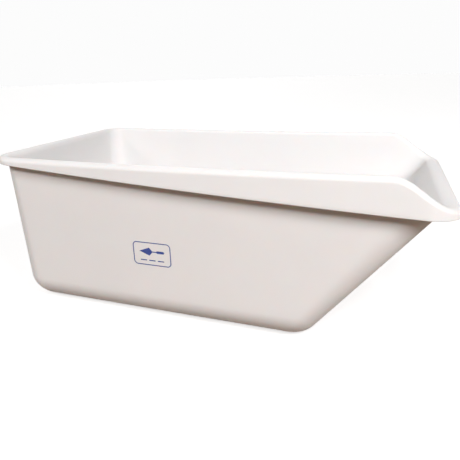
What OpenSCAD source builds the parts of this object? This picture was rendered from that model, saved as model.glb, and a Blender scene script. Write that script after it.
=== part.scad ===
// Mortar mixing tub: one moulded polyethylene shell with a rounded floor, a sloping pour end,
// a downturned rim that deepens towards the pour end and dips there into a pouring lip,
// and a printed mark on one long side.
// Frame: +X is the pour end, +Z is up, and the origin is under the middle of the tub, on the ground.

/* [Overall size] */
// Length over the rim
tub_l = 1240; // [1000:10:1500]
// Width over the rim at its ends, before the long sides crown outwards
tub_w = 702; // [560:2:860]
// Height of the rim above the ground at its two back corners
tub_h = 457; // [380:1:560]
// Thickness of the moulded wall
wall = 5; // [4:0.5:7]

/* [Body] */
// Distance from the back of the rim to the foot of the back wall
back_foot = 51; // [36:1:60]
// Distance from the front of the rim to the foot of the pour ramp
ramp_foot = 330; // [260:1:400]
// Distance from the side of the rim to the foot of a side wall
side_foot = 44; // [36:1:60]
// Radius that joins the floor to the walls
floor_r = 79; // [60:1:90]
// Plan radius of the four corners at the foot of the walls
foot_corner_r = 72; // [60:1:90]
// Plan radius of the four corners of the flat floor
floor_corner_r = 18; // [12:1:40]

/* [Rim] */
// Plan radius of the four corners of the rim
rim_corner_r = 80; // [70:1:100]
// Distance from the outer edge of the rim to its crest
crest_in = 18; // [14:0.5:22]
// Height of the rounded top of the rim
bead_h = 14; // [10:0.5:16]
// Depth of the rim's skirt at the back
skirt_back = 17; // [16:1:40]
// Depth of the rim's skirt at the front, measured from the height of the back corners
skirt_front = 95; // [90:1:120]
// Draft of the skirt's outer face, in degrees
skirt_draft = 2.5; // [0:0.5:3]
// Inset of the side walls under the rim, at the height of the crest
side_inset = 22.5; // [21:0.5:30]
// Inset of the ramp under the lip, at the height of the crest
lip_inset = 26; // [23:0.5:32]
// Inset of the back wall under the rim, at the height of the crest
back_inset = 31; // [23:0.5:34]
// Outward crown of each long side at the middle of the rim
crown = 9; // [0:1:14]
// Sag of the rim at the middle of the long sides
sag = 5; // [0:1:8]

/* [Pouring lip] */
// Drop from the rim to the lip
lip_drop = 77; // [50:1:78]
// Length of the slope from the rim down to the lip
dip_l = 141; // [110:1:180]
// Distance past the front crest at which the slope would level out
dip_over = 13; // [0:1:20]

/* [Printed mark] */
// Width of the mark
mark_w = 112; // [60:1:120]
// Height of the mark
mark_h = 68; // [40:1:80]
// Middle of the mark along the tub, from the middle of the tub
mark_x = -111; // [-120:1:-70]
// Middle of the mark above the ground
mark_z = 203; // [160:1:240]
// Width of the mark's border line
border_line = 2.6; // [1.6:0.2:4]
// Thickness of the printed ink
ink_t = 0.1; // [0.1:0.05:0.2]

/* [Hidden] */

FILLET_STEPS = 7;     // steps round the floor radius
INNER_STEPS = 4;      // steps over the inner side of the crest
BEAD_STEPS = 5;       // steps over the outer side of the crest
UNDER_STEPS = 3;      // steps under the outer side of the crest
CORNER_STEPS = 10;    // steps round a corner of the plan
INK_GAP = 0.02;       // keeps the ink from cutting into the wall
GRIP_ROUND = 0.49;    // rounding of the trowel's grip, as a share of its width
ARC_FACETS = 48;      // facets round the mark's rounded corners
SHELL_COLOUR = [0.88, 0.86, 0.84];
INK_COLOUR = [0.13, 0.20, 0.52];

// Shares of a long side, from its front end, at which the walls have a station. They crowd
// together where the rim begins to dip. Two stand at equal distances either side of the middle,
// so that the wall between them is one flat panel for the printed mark.
PANEL_SHARE = 0.38;
SIDE_SHARES = [0.012, 0.024, 0.036, 0.05, 0.08, 0.15, 0.26, PANEL_SHARE, 1 - PANEL_SHARE, 0.74, 0.86];

half_l = tub_l / 2;
half_w = tub_w / 2;
crest_front_x = half_l - crest_in;

function smooth(t) = let (c = max(0, min(1, t))) c * c * (3 - 2 * c);
function mix(a, b, t) = a + (b - a) * t;

// 1 at the middle of the tub's length and 0 at its ends
function middle_share(x) = 1 - pow(x / half_l, 2);

// Height of the rim's crest, and of the skirt's lower edge, at a place along the tub
function crest_z(x) =
    tub_h - sag * middle_share(x)
    - lip_drop * smooth((x - (crest_front_x + dip_over - dip_l)) / dip_l);
function skirt_z(x) =
    tub_h - sag * middle_share(x) - mix(skirt_back, skirt_front, x / tub_l + 0.5);

// A station is [corner or side, share along it]. Corners 0 to 3 are front left, back left, back
// right and front right, seen from the back looking forwards; sides 4 to 7 follow each corner.
CORNER_SHARES = [for (i = [0 : CORNER_STEPS]) i / CORNER_STEPS];
REVERSED_SHARES = [for (i = [len(SIDE_SHARES) - 1 : -1 : 0]) 1 - SIDE_SHARES[i]];
STATIONS = concat(
    [for (s = CORNER_SHARES) [0, s]], [for (s = SIDE_SHARES) [4, s]],
    [for (s = CORNER_SHARES) [1, s]], [[5, 0.5]],
    [for (s = CORNER_SHARES) [2, s]], [for (s = REVERSED_SHARES) [6, s]],
    [for (s = CORNER_SHARES) [3, s]], [[7, 0.5]]
);

// Outward direction at a station, as an angle in degrees
function heading(s) = s[0] < 4 ? 90 * (s[0] + s[1]) : 90 * (s[0] - 3);
function outward(s) = [cos(heading(s)), sin(heading(s))];

// The plan point of a station on a rounded rectangle from x0 to x1 with half width w and radius r
function corner_centre(c, x0, x1, w, r) =
    [c == 0 || c == 3 ? x1 - r : x0 + r, c < 2 ? w - r : r - w];
function corner_point(c, t, x0, x1, w, r) =
    corner_centre(c, x0, x1, w, r) + r * outward([c, t]);
function plan_point(s, x0, x1, w, r) =
    s[0] < 4
    ? corner_point(s[0], s[1], x0, x1, w, r)
    : mix(corner_point(s[0] - 4, 1, x0, x1, w, r),
          corner_point((s[0] - 3) % 4, 0, x0, x1, w, r), s[1]);

// Outermost line of the rim, with its crowned sides, and the line where the walls would meet the ground
function rim_point(s) =
    let (p = plan_point(s, -half_l, half_l, half_w, rim_corner_r))
    [p.x, p.y + sign(p.y) * crown * middle_share(p.x) * pow(outward(s).y, 2)];
function foot_point(s) =
    plan_point(s, back_foot - half_l, half_l - ramp_foot, half_w - side_foot, foot_corner_r);

// Height of the crest at a station, and how far the wall stands inside the rim at that height
function station_crest(s) = crest_z(rim_point(s).x - crest_in * outward(s).x);
function station_inset(s) =
    let (side = mix(side_foot, side_inset, station_crest(s) / tub_h))
    mix(side, outward(s).x > 0 ? lip_inset : back_inset, pow(outward(s).x, 2));

// The wall at a station is a straight line from its foot to the height of the crest
function wall_top(s) = rim_point(s) - station_inset(s) * outward(s);
function wall_run(s) = (wall_top(s) - foot_point(s)) / station_crest(s);

// Lean of the wall from the vertical at a station, in degrees, seen along the wall
function lean(s) = atan(wall_run(s) * outward(s));

// How far the floor radius reaches from the foot of a wall, along the floor and up the wall
BACK_LEAN = lean([5, 0.5]);
RAMP_LEAN = lean([7, 0.5]);
SIDE_LEAN = lean([4, 0]);
function reach(tilt) = floor_r * tan((90 - tilt) / 2);
function rise(s) =
    let (end = outward(s).x > 0 ? RAMP_LEAN : BACK_LEAN)
    mix(reach(SIDE_LEAN) * cos(SIDE_LEAN), reach(end) * cos(end), pow(outward(s).x, 2));

// Edge of the flat floor, where the floor radius starts
function floor_point(s) =
    plan_point(s, back_foot - half_l + reach(BACK_LEAN), half_l - ramp_foot - reach(RAMP_LEAN),
               half_w - side_foot - reach(SIDE_LEAN), floor_corner_r);

// The floor radius at a station, as points from the floor up to the wall, for a surface that lies
// inset millimetres inside the outer one. It leaves the wall along the wall's own straight line.
function floor_arc(s, inset) =
    let (tilt = lean(s), turn = 90 - tilt, flat = floor_point(s),
         foot = foot_point(s) + wall_run(s) * inset - outward(s) * inset / cos(tilt),
         climb = rise(s) * (1 - inset / floor_r))
    [for (i = [0 : FILLET_STEPS])
        let (a = turn * i / FILLET_STEPS,
             up = (1 - cos(a)) / (tan(turn / 2) * sin(turn)),
             out = sin(a) / tan(turn / 2) - up * cos(turn),
             p = flat + out * (foot - flat) + up * climb * wall_run(s))
        [p.x, p.y, inset + up * climb]];

// The arc between the wall and the crest, as points. It slides along the wall as it comes down,
// so that it meets the wall on the same straight line.
function inner_arc(s, inset) =
    let (tilt = lean(s), top = station_crest(s), along = [-outward(s).y, outward(s).x],
         slide = wall_run(s) * along,
         r = (station_inset(s) + wall / cos(tilt) - crest_in) / tan((90 - tilt) / 2))
    [for (i = [0 : INNER_STEPS])
        let (a = (90 - tilt) * (1 - i / INNER_STEPS),
             out = -crest_in - (r - inset) * sin(a),
             up = top - r + (r - inset) * cos(a),
             p = rim_point(s) + out * outward(s) + slide * (up - top) * along)
        [p.x, p.y, up]];

// The arc from the crest to the rim's outer face, and the outer face itself, as points
function bead_arc(s, taper, inset, steps) =
    [for (i = [1 : steps])
        let (a = 90 * i / steps,
             out = -crest_in + (crest_in - taper - inset) * sin(a),
             p = rim_point(s) + out * outward(s))
        [p.x, p.y, station_crest(s) - bead_h + (bead_h - inset) * cos(a)]];
function skirt_edge(s, inset) =
    let (p = rim_point(s) - inset * outward(s)) [p.x, p.y, skirt_z(rim_point(s).x)];

function backwards(list) = [for (i = [len(list) - 1 : -1 : 0]) list[i]];

// Every point of the wall's section at a station, from the inner floor over the rim to the outer floor
function section(s) =
    let (depth = station_crest(s) - bead_h - skirt_z(rim_point(s).x),
         taper = depth * tan(skirt_draft))
    concat(floor_arc(s, wall), inner_arc(s, 0),
           bead_arc(s, taper, 0, BEAD_STEPS),
           [skirt_edge(s, 0), skirt_edge(s, wall)],
           backwards(bead_arc(s, taper, wall, UNDER_STEPS)),
           backwards(inner_arc(s, wall)), backwards(floor_arc(s, 0)));

// The shell is one closed skin: each section joined to the next, and two flat floors, each a fan
// of triangles about its middle
module tub_shell() {
    sections = [for (s = STATIONS) section(s)];
    n = len(sections);
    m = len(sections[0]);
    floor_mid = (back_foot - ramp_foot) / 2;
    points = concat([for (i = [0 : n - 1]) each sections[i]],
                    [[floor_mid, 0, wall], [floor_mid, 0, 0]]);
    skin = [for (i = [0 : n - 1], k = [0 : m - 2])
        let (a = i * m + k, b = ((i + 1) % n) * m + k)
        each [[a, b, b + 1], [a, b + 1, a + 1]]];
    floors = [for (i = [0 : n - 1])
        let (a = i * m, b = ((i + 1) % n) * m)
        each [[a, n * m, b], [a + m - 1, b + m - 1, n * m + 1]]];
    color(SHELL_COLOUR)
        polyhedron(points, concat(skin, floors), convexity = 10);
}

// Lean of the right-hand wall behind the mark, and the wall's distance from the middle plane there
panel = [6, PANEL_SHARE];
panel_lean = lean(panel);
panel_y = foot_point(panel).y - mark_z * tan(panel_lean);

// Draws flat artwork as ink on the outside of the right-hand wall
module inked() {
    translate([mark_x, panel_y, mark_z])
        rotate([90 + panel_lean, 0, 0])
            translate([0, 0, INK_GAP])
                linear_extrude(ink_t) children();
}

module rounded_rect(w, h, r) {
    square([w - 2 * r, h], center = true);
    square([w, h - 2 * r], center = true);
    for (x = [-1, 1], y = [-1, 1])
        translate([x * (w / 2 - r), y * (h / 2 - r)])
            circle(r, $fn = ARC_FACETS);
}

module border(w, h, r) {
    difference() {
        rounded_rect(w, h, r);
        rounded_rect(w - 2 * border_line, h - 2 * border_line, r - border_line);
    }
}

// A pointing trowel seen flat: a pointed blade, a neck and a round-ended grip
module trowel(length) {
    blade_l = length * 0.54;
    blade_w = length * 0.32;
    shoulder_l = length * 0.4;
    grip_l = length * 0.32;
    grip_w = length * 0.1;
    neck_w = length * 0.04;
    neck_l = length - shoulder_l - grip_l + grip_w / 2;
    translate([-length / 2, 0]) {
        polygon([[0, 0], [shoulder_l, blade_w / 2], [blade_l, 0], [shoulder_l, -blade_w / 2]]);
        translate([shoulder_l, -neck_w / 2])
            square([neck_l, neck_w]);
        translate([length - grip_l / 2, 0])
            rounded_rect(grip_l, grip_w, grip_w * GRIP_ROUND);
    }
}

// A plain border, a trowel and three rules, in one ink
module printed_mark() {
    corner_r = 12;
    trowel_l = mark_w * 0.66;
    trowel_up = mark_h * 0.1;
    rule_w = mark_w * 0.17;
    rule_h = 3;
    rule_pitch = rule_w * 1.35;
    rules_down = mark_h * 0.28;
    color(INK_COLOUR)
        inked() {
            border(mark_w, mark_h, corner_r);
            translate([0, trowel_up]) trowel(trowel_l);
            for (i = [-1 : 1])
                translate([i * rule_pitch, -rules_down])
                    square([rule_w, rule_h], center = true);
        }
}

tub_shell();
printed_mark();
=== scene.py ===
from math import atan, cos, pi, radians, sin, tan

import bpy
from mathutils import Matrix, Vector


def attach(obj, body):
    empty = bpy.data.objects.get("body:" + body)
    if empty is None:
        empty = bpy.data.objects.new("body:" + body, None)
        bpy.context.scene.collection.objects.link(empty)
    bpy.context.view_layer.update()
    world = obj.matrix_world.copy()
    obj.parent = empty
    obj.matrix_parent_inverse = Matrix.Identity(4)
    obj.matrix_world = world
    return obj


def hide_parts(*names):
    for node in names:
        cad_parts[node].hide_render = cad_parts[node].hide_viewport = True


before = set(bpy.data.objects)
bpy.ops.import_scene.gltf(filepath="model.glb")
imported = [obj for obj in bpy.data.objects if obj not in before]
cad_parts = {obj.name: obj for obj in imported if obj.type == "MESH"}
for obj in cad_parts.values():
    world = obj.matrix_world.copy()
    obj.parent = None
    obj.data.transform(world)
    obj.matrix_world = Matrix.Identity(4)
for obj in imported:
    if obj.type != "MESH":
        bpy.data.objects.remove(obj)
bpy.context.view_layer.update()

MM = 0.001

# ---------------------------------------------------------------- the tub's dimensions, in mm
TUB_L, TUB_W, TUB_H = 1240.0, 702.0, 457.0
WALL = 5.0
BACK_FOOT, RAMP_FOOT, SIDE_FOOT = 51.0, 330.0, 44.0
FLOOR_R, FOOT_CORNER_R, FLOOR_CORNER_R = 79.0, 72.0, 18.0
RIM_CORNER_R, CREST_IN, BEAD_H = 80.0, 18.0, 14.0
SKIRT_BACK, SKIRT_FRONT, SKIRT_DRAFT = 17.0, 95.0, radians(2.5)
SIDE_INSET, BACK_INSET, LIP_INSET = 22.5, 31.0, 26.0
SAG = 5.0
CROWN = 8.6           # a little under the CAD's 9, so the smooth side stays behind its flat panel
LIP_DROP, DIP_L, DIP_OVER = 77.0, 141.0, 13.0
EDGE_R = 1.6          # the rounding of the skirt's two lower edges

HALF_L, HALF_W = TUB_L / 2, TUB_W / 2

# How finely the shell is drawn
CORNER_STEPS, SIDE_STEPS, END_STEPS = 26, 80, 18
FLOOR_STEPS, WALL_STEPS, ARC_STEPS, SKIRT_STEPS, EDGE_STEPS = 18, 22, 9, 7, 4
FLOOR_RINGS = (0.92, 0.6, 0.25)   # the flat floor's inner rings, as shares of its outline

# The stage, in metres. The two floors lie just under the tub, and the dome stands inside their edges.
FLOOR_HALF, DOME_R = 30.0, 26.0
DOME_TURNS, DOME_LEVELS, DOME_START = 48, 12, -6
SEEN_FLOOR_Z, BOUNCE_FLOOR_Z = -0.0003, -0.002
FAR_AWAY = 4.0        # where the distant lights are put; only their direction counts


def mix(a, b, t):
    return a + (b - a) * t


def smooth(t):
    t = max(0.0, min(1.0, t))
    return t * t * (3 - 2 * t)


def middle_share(x):
    return 1 - (x / HALF_L) ** 2


def crest_z(x):
    start = HALF_L - CREST_IN + DIP_OVER - DIP_L
    return TUB_H - SAG * middle_share(x) - LIP_DROP * smooth((x - start) / DIP_L)


def skirt_z(x):
    return TUB_H - SAG * middle_share(x) - mix(SKIRT_BACK, SKIRT_FRONT, x / TUB_L + 0.5)


# A station is (corner 0 to 3 or side 4 to 7, share along it), as in the CAD model.
def heading(s):
    return radians(90 * (s[0] + s[1]) if s[0] < 4 else 90 * (s[0] - 3))


def outward(s):
    h = heading(s)
    return Vector((cos(h), sin(h)))


def corner_point(c, t, x0, x1, w, r):
    centre = Vector((x1 - r if c in (0, 3) else x0 + r, w - r if c < 2 else r - w))
    return centre + r * outward((c, t))


def plan_point(s, x0, x1, w, r):
    if s[0] < 4:
        return corner_point(s[0], s[1], x0, x1, w, r)
    a = corner_point(s[0] - 4, 1, x0, x1, w, r)
    b = corner_point((s[0] - 3) % 4, 0, x0, x1, w, r)
    return mix(a, b, s[1])


def rim_point(s):
    p = plan_point(s, -HALF_L, HALF_L, HALF_W, RIM_CORNER_R)
    side = 1 if p.y > 0 else -1
    return Vector((p.x, p.y + side * CROWN * middle_share(p.x) * outward(s).y ** 2))


def foot_point(s):
    return plan_point(s, BACK_FOOT - HALF_L, HALF_L - RAMP_FOOT, HALF_W - SIDE_FOOT, FOOT_CORNER_R)


def station_crest(s):
    return crest_z(rim_point(s).x - CREST_IN * outward(s).x)


def station_inset(s):
    side = mix(SIDE_FOOT, SIDE_INSET, station_crest(s) / TUB_H)
    end = LIP_INSET if outward(s).x > 0 else BACK_INSET
    return mix(side, end, outward(s).x ** 2)


def wall_run(s):
    return (rim_point(s) - station_inset(s) * outward(s) - foot_point(s)) / station_crest(s)


def lean(s):
    return atan(wall_run(s).dot(outward(s)))


def reach(tilt):
    return FLOOR_R * tan((pi / 2 - tilt) / 2)


BACK_LEAN, RAMP_LEAN, SIDE_LEAN = lean((5, 0.5)), lean((7, 0.5)), lean((4, 0))


def rise(s):
    end = RAMP_LEAN if outward(s).x > 0 else BACK_LEAN
    return mix(reach(SIDE_LEAN) * cos(SIDE_LEAN), reach(end) * cos(end), outward(s).x ** 2)


def floor_point(s):
    return plan_point(s, BACK_FOOT - HALF_L + reach(BACK_LEAN), HALF_L - RAMP_FOOT - reach(RAMP_LEAN),
                      HALF_W - SIDE_FOOT - reach(SIDE_LEAN), FLOOR_CORNER_R)


def point(p, z):
    return Vector((p.x, p.y, z))


def floor_arc(s, inset):
    """The floor radius, from the flat floor up to the wall."""
    turn = pi / 2 - lean(s)
    flat = floor_point(s)
    foot = foot_point(s) + wall_run(s) * inset - outward(s) * inset / cos(lean(s))
    climb = rise(s) * (1 - inset / FLOOR_R)
    points = []
    for i in range(FLOOR_STEPS + 1):
        a = turn * i / FLOOR_STEPS
        up = (1 - cos(a)) / (tan(turn / 2) * sin(turn))
        out = sin(a) / tan(turn / 2) - up * cos(turn)
        points.append(point(flat + out * (foot - flat) + up * climb * wall_run(s), inset + up * climb))
    return points


def crest_arc(s, inset):
    """From the wall up to the crest. It slides along the wall, to meet it on one straight line."""
    tilt, top = lean(s), station_crest(s)
    along = Vector((-outward(s).y, outward(s).x))
    slide = wall_run(s).dot(along)
    r = (station_inset(s) + WALL / cos(tilt) - CREST_IN) / tan((pi / 2 - tilt) / 2)
    points = []
    for i in range(ARC_STEPS + 1):
        a = (pi / 2 - tilt) * (1 - i / ARC_STEPS)
        out = -CREST_IN - (r - inset) * sin(a)
        up = top - r + (r - inset) * cos(a)
        points.append(point(rim_point(s) + out * outward(s) + slide * (up - top) * along, up))
    return points


def bead_arc(s, taper, inset):
    """From the crest over to the skirt's face."""
    points = []
    for i in range(1, ARC_STEPS + 1):
        a = pi / 2 * i / ARC_STEPS
        out = -CREST_IN + (CREST_IN - taper - inset) * sin(a)
        points.append(point(rim_point(s) + out * outward(s),
                            station_crest(s) - BEAD_H + (BEAD_H - inset) * cos(a)))
    return points


def between(a, b, steps):
    """The points strictly between two points."""
    return [a.lerp(b, i / steps) for i in range(1, steps)]


def skirt_edge(s):
    """The skirt's lower edge, rounded on both sides, from its outer face to its inner one."""
    low = skirt_z(rim_point(s).x)
    points = []
    for centre_out, start in ((-EDGE_R, 0), (EDGE_R - WALL, pi / 2)):
        for i in range(EDGE_STEPS + 1):
            a = start + pi / 2 * i / EDGE_STEPS
            out = centre_out + EDGE_R * cos(a)
            points.append(point(rim_point(s) + out * outward(s), low + EDGE_R - EDGE_R * sin(a)))
    return points


def section(s):
    """The wall's closed section, from the inner floor over the rim to the outer floor."""
    depth = station_crest(s) - BEAD_H - skirt_z(rim_point(s).x)
    taper = depth * tan(SKIRT_DRAFT)
    inner_floor, outer_floor = floor_arc(s, WALL), floor_arc(s, 0)
    inner_crest, outer_crest = crest_arc(s, 0), crest_arc(s, WALL)
    outer_bead, inner_bead = bead_arc(s, taper, 0), bead_arc(s, taper, WALL)
    edge = skirt_edge(s)
    return (inner_floor + between(inner_floor[-1], inner_crest[0], WALL_STEPS) + inner_crest
            + outer_bead + between(outer_bead[-1], edge[0], SKIRT_STEPS) + edge
            + between(edge[-1], inner_bead[-1], SKIRT_STEPS) + inner_bead[::-1] + outer_crest[::-1]
            + between(outer_crest[0], outer_floor[-1], WALL_STEPS) + outer_floor[::-1])


def stations():
    corner = [i / CORNER_STEPS for i in range(CORNER_STEPS)]
    side = [i / SIDE_STEPS for i in range(SIDE_STEPS)]
    end = [i / END_STEPS for i in range(END_STEPS)]
    found = []
    for c, straight in ((0, side), (1, end), (2, side), (3, end)):
        found += [(c, t) for t in corner] + [(c + 4, t) for t in straight]
    return found


def build_shell():
    sections = [section(s) for s in stations()]
    n, m = len(sections), len(sections[0])
    verts = [p * MM for sec in sections for p in sec]
    faces = []
    for i in range(n):
        for k in range(m - 1):
            a, b = i * m + k, (i + 1) % n * m + k
            faces.append((a, a + 1, b + 1, b))
    # Each flat floor closes in rings towards its middle
    middle_x = (BACK_FOOT - RAMP_FOOT) / 2 * MM
    for k, z, faces_up in ((0, WALL * MM, True), (m - 1, 0.0, False)):
        ring = [i * m + k for i in range(n)]
        for share in FLOOR_RINGS:
            inner = []
            for i in range(n):
                p = sections[i][k] * MM
                inner.append(len(verts))
                verts.append(Vector((mix(middle_x, p.x, share), p.y * share, z)))
            for i in range(n):
                j = (i + 1) % n
                quad = (ring[i], ring[j], inner[j], inner[i])
                faces.append(quad if faces_up else quad[::-1])
            ring = inner
        hub = len(verts)
        verts.append(Vector((middle_x, 0.0, z)))
        for i in range(n):
            j = (i + 1) % n
            tri = (ring[i], ring[j], hub)
            faces.append(tri if faces_up else tri[::-1])
    mesh = bpy.data.meshes.new("tub_shell_smooth")
    mesh.from_pydata(verts, [], faces)
    mesh.validate()
    mesh.update()
    mesh.shade_smooth()
    shell = bpy.data.objects.new("tub_shell_smooth", mesh)
    bpy.context.scene.collection.objects.link(shell)
    return shell


# ---------------------------------------------------------------- materials
class Graph:
    """A few shorthands for building a material's nodes."""

    def __init__(self, name):
        self.material = bpy.data.materials.new(name)
        self.material.use_nodes = True
        self.nodes = self.material.node_tree.nodes
        self.links = self.material.node_tree.links
        self.shader = self.nodes["Principled BSDF"]
        self.place = self.nodes.new("ShaderNodeTexCoord").outputs["Object"]

    def put(self, socket, value):
        if isinstance(value, bpy.types.NodeSocket):
            self.links.new(value, socket)
        else:
            socket.default_value = value

    def noise(self, scale, detail=3.0, rough=0.5, stretch=None):
        node = self.nodes.new("ShaderNodeTexNoise")
        node.inputs["Scale"].default_value = scale
        node.inputs["Detail"].default_value = detail
        node.inputs["Roughness"].default_value = rough
        place = self.place
        if stretch:
            mapping = self.nodes.new("ShaderNodeMapping")
            mapping.inputs["Scale"].default_value = stretch
            self.links.new(place, mapping.inputs["Vector"])
            place = mapping.outputs["Vector"]
        self.links.new(place, node.inputs["Vector"])
        return node.outputs["Fac"]

    def remap(self, value, low, high, to_low, to_high):
        node = self.nodes.new("ShaderNodeMapRange")
        self.put(node.inputs["Value"], value)
        for name, number in (("From Min", low), ("From Max", high), ("To Min", to_low), ("To Max", to_high)):
            node.inputs[name].default_value = number
        return node.outputs["Result"]

    def math(self, operation, a, b):
        node = self.nodes.new("ShaderNodeMath")
        node.operation = operation
        self.put(node.inputs[0], a)
        self.put(node.inputs[1], b)
        return node.outputs[0]

    def blend(self, share, a, b):
        node = self.nodes.new("ShaderNodeMix")
        node.data_type = "RGBA"
        self.put(node.inputs["Factor"], share)
        self.put(node.inputs[6], a)
        self.put(node.inputs[7], b)
        return node.outputs[2]

    def height(self):
        """The z of the shaded point, in metres above the ground."""
        node = self.nodes.new("ShaderNodeSeparateXYZ")
        self.links.new(self.place, node.inputs[0])
        return node.outputs["Z"]

    def bump(self, height, distance, strength=1.0, onto=None):
        node = self.nodes.new("ShaderNodeBump")
        node.inputs["Distance"].default_value = distance
        node.inputs["Strength"].default_value = strength
        self.links.new(height, node.inputs["Height"])
        if onto:
            self.links.new(onto, node.inputs["Normal"])
        return node.outputs["Normal"]


def polyethylene():
    """Off-white moulded polyethylene: faint flow mottling, orange peel, slow waves and light rubs."""
    g = Graph("polyethylene")
    clean = (0.8, 0.784, 0.778, 1)
    cool = (0.785, 0.772, 0.769, 1)
    rubbed = (0.735, 0.712, 0.695, 1)
    mottle = g.remap(g.noise(5.5, 4), 0.3, 0.7, 0, 1)
    colour = g.blend(mottle, clean, cool)
    rubs = g.remap(g.noise(38, 8, 0.7, (0.35, 0.35, 1)), 0.63, 0.8, 0, 1)
    near_ground = g.remap(g.height(), 0.0, 0.09, 1.0, 0.12)
    wear = g.math("MULTIPLY", rubs, near_ground)
    g.put(g.shader.inputs["Base Color"], g.blend(wear, colour, rubbed))
    gloss = g.remap(g.noise(16, 3), 0.3, 0.7, 0.5, 0.58)
    g.put(g.shader.inputs["Roughness"], g.math("ADD", gloss, g.math("MULTIPLY", wear, 0.18)))
    g.shader.inputs["IOR"].default_value = 1.52
    g.shader.inputs["Specular IOR Level"].default_value = 0.25
    g.shader.inputs["Subsurface Weight"].default_value = 0.3
    g.shader.inputs["Subsurface Radius"].default_value = (1.0, 0.62, 0.48)
    g.shader.inputs["Subsurface Scale"].default_value = 0.006
    waves = g.bump(g.noise(6.5, 1), 0.0012)
    peel = g.bump(g.noise(420, 2), 0.00005, 0.8, waves)
    g.put(g.shader.inputs["Normal"], peel)
    return g.material


def ink():
    """Flat blue ink, a little uneven in its coverage."""
    g = Graph("blue_ink")
    full = (0.014, 0.036, 0.215, 1)
    thin = (0.045, 0.085, 0.31, 1)
    patchy = g.remap(g.noise(900, 4, 0.6), 0.42, 0.68, 0, 1)
    broad = g.remap(g.noise(60, 2), 0.35, 0.65, 0, 0.5)
    g.put(g.shader.inputs["Base Color"], g.blend(g.math("MAXIMUM", patchy, broad), full, thin))
    g.put(g.shader.inputs["Roughness"], g.remap(g.noise(300, 3), 0.3, 0.7, 0.42, 0.6))
    g.put(g.shader.inputs["Normal"], g.bump(g.noise(1500, 2), 0.00002))
    return g.material


def stage_colour(name, colour, glow=0.0):
    """A plain matt stage material, with some light of its own where the backdrop has to look white."""
    g = Graph(name)
    g.put(g.shader.inputs["Base Color"], g.blend(g.remap(g.noise(1.5, 2), 0.3, 0.7, 0, 1),
                                                 colour, tuple(c * 0.99 for c in colour[:3]) + (1,)))
    g.shader.inputs["Roughness"].default_value = 0.8
    g.shader.inputs["Specular IOR Level"].default_value = 0.1
    g.shader.inputs["Emission Color"].default_value = (1, 1, 1, 1)
    g.shader.inputs["Emission Strength"].default_value = glow
    return g.material


# ---------------------------------------------------------------- camera
def add_camera():
    """The photograph's viewpoint: before the printed side, nearer the pour end, looking back and down."""
    yaw, pitch, roll = radians(-22.2), radians(14.3), radians(-1.9)
    place = Vector((0.4511, -1.4098, 0.6899))
    ahead = Vector((sin(yaw) * cos(pitch), cos(yaw) * cos(pitch), -sin(pitch)))
    level = ahead.cross(Vector((0, 0, 1))).normalized()
    lifted = level.cross(ahead)
    right = level * cos(roll) + lifted * sin(roll)
    up = -level * sin(roll) + lifted * cos(roll)
    data = bpy.data.cameras.new("camera")
    data.sensor_width = 36.0
    data.lens = 37.7217
    # The photograph is a crop, so its middle is off the lens's axis
    data.shift_x, data.shift_y = 0.08696, -0.08696
    data.clip_start, data.clip_end = 0.02, 60
    camera = bpy.data.objects.new("camera", data)
    turn = Matrix((right, up, -ahead)).transposed().to_4x4()
    camera.matrix_world = Matrix.Translation(place) @ turn
    bpy.context.scene.collection.objects.link(camera)
    bpy.context.scene.camera = camera


# ---------------------------------------------------------------- floor, backdrop and light
def stage_object(name, verts, faces, material):
    mesh = bpy.data.meshes.new(name)
    mesh.from_pydata(verts, [], faces)
    thing = bpy.data.objects.new(name, mesh)
    thing.data.materials.append(material)
    bpy.context.scene.collection.objects.link(thing)
    return thing


def add_plane(name, z, material):
    h = FLOOR_HALF
    return stage_object(name, [(-h, -h, z), (h, -h, z), (h, h, z), (-h, h, z)], [(0, 1, 2, 3)], material)


def add_dome(material):
    """A pale dome behind everything. Only the camera sees it, so it lights nothing."""
    verts = []
    for level in range(DOME_LEVELS + 1):
        up = radians(mix(DOME_START, 90, level / DOME_LEVELS))
        for turn in range(DOME_TURNS):
            around = 2 * pi * turn / DOME_TURNS
            verts.append((DOME_R * cos(up) * cos(around), DOME_R * cos(up) * sin(around), DOME_R * sin(up)))
    faces = []
    for level in range(DOME_LEVELS):
        for turn in range(DOME_TURNS):
            a, b = level * DOME_TURNS + turn, level * DOME_TURNS + (turn + 1) % DOME_TURNS
            faces.append((a, b, b + DOME_TURNS, a + DOME_TURNS))
    dome = stage_object("dome", verts, faces, material)
    dome.visible_diffuse = False
    dome.visible_glossy = False
    dome.visible_transmission = False
    dome.visible_shadow = False


def aim(light, around, up, distance):
    """Stand a light off the tub's middle, by degrees round from +X and up from the floor, facing it."""
    a, e = radians(around), radians(up)
    from_here = Vector((cos(a) * cos(e), sin(a) * cos(e), sin(e)))
    light.rotation_euler = from_here.to_track_quat("Z", "Y").to_euler()
    light.location = Vector((0, 0, TUB_H / 2 * MM)) + from_here * distance
    bpy.context.scene.collection.objects.link(light)


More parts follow.
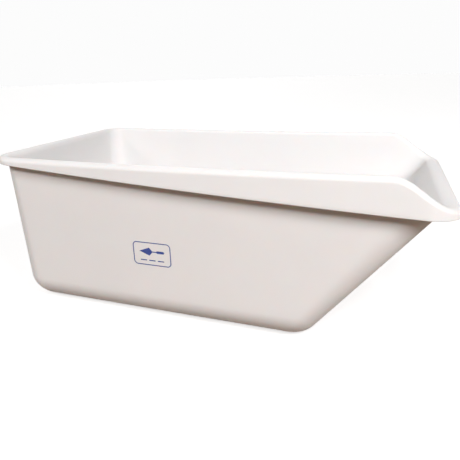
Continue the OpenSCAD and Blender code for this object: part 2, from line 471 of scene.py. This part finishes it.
def add_softbox(name, around, up, strength, colour, spread=13):
    """Broad light from far off, so equally strong all over the tub."""
    data = bpy.data.lights.new(name, "SUN")
    data.energy = strength
    data.color = colour
    data.angle = radians(spread)
    aim(bpy.data.objects.new(name, data), around, up, FAR_AWAY)


def add_near_softbox(name, around, up, strength, colour, distance, spread=13):
    """The same, but near enough to fall off across the tub. Its strength is what reaches the middle."""
    data = bpy.data.lights.new(name, "AREA")
    data.shape = "DISK"
    data.size = 2 * distance * tan(radians(spread / 2))
    data.energy = strength * pi * distance ** 2
    data.color = colour
    aim(bpy.data.objects.new(name, data), around, up, distance)


def add_world(colour, strength):
    world = bpy.data.worlds.new("studio")
    world.use_nodes = True
    back = world.node_tree.nodes["Background"]
    back.inputs["Color"].default_value = colour
    back.inputs["Strength"].default_value = strength
    bpy.context.scene.world = world


add_camera()

shell = build_shell()
shell.data.materials.append(polyethylene())
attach(shell, "root")
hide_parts("tub_shell")

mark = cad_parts["printed_mark"]
mark.data.materials.clear()
mark.data.materials.append(ink())

# The floor that shows is pale; the light it would throw back comes from a darker one just below it,
# so the undersides stay as dark as the photograph has them.
seen_floor = add_plane("floor", SEEN_FLOOR_Z, stage_colour("floor_pale", (0.5, 0.495, 0.49, 1), 0.66))
seen_floor.visible_diffuse = False
seen_floor.visible_shadow = False
bounce_floor = add_plane("bounce", BOUNCE_FLOOR_Z, stage_colour("floor_bounce", (0.165, 0.1, 0.055, 1)))
bounce_floor.visible_camera = False
bounce_floor.visible_glossy = False
add_dome(stage_colour("dome_pale", (0.0, 0.0, 0.0, 1), 0.97))

add_softbox("key", -83, 38, 1.6, (1.0, 0.995, 0.995))
add_near_softbox("right", -38, 36, 2.15, (1.0, 0.99, 0.99), distance=5.0)
add_softbox("left", -145, 32, 0.7, (1.0, 0.995, 0.99))
add_softbox("fill", 115, 26, 0.9, (1.0, 0.99, 0.985), spread=30)
add_world((1.0, 0.98, 0.965, 1), 0.06)

bpy.context.scene.view_settings.view_transform = "Standard"
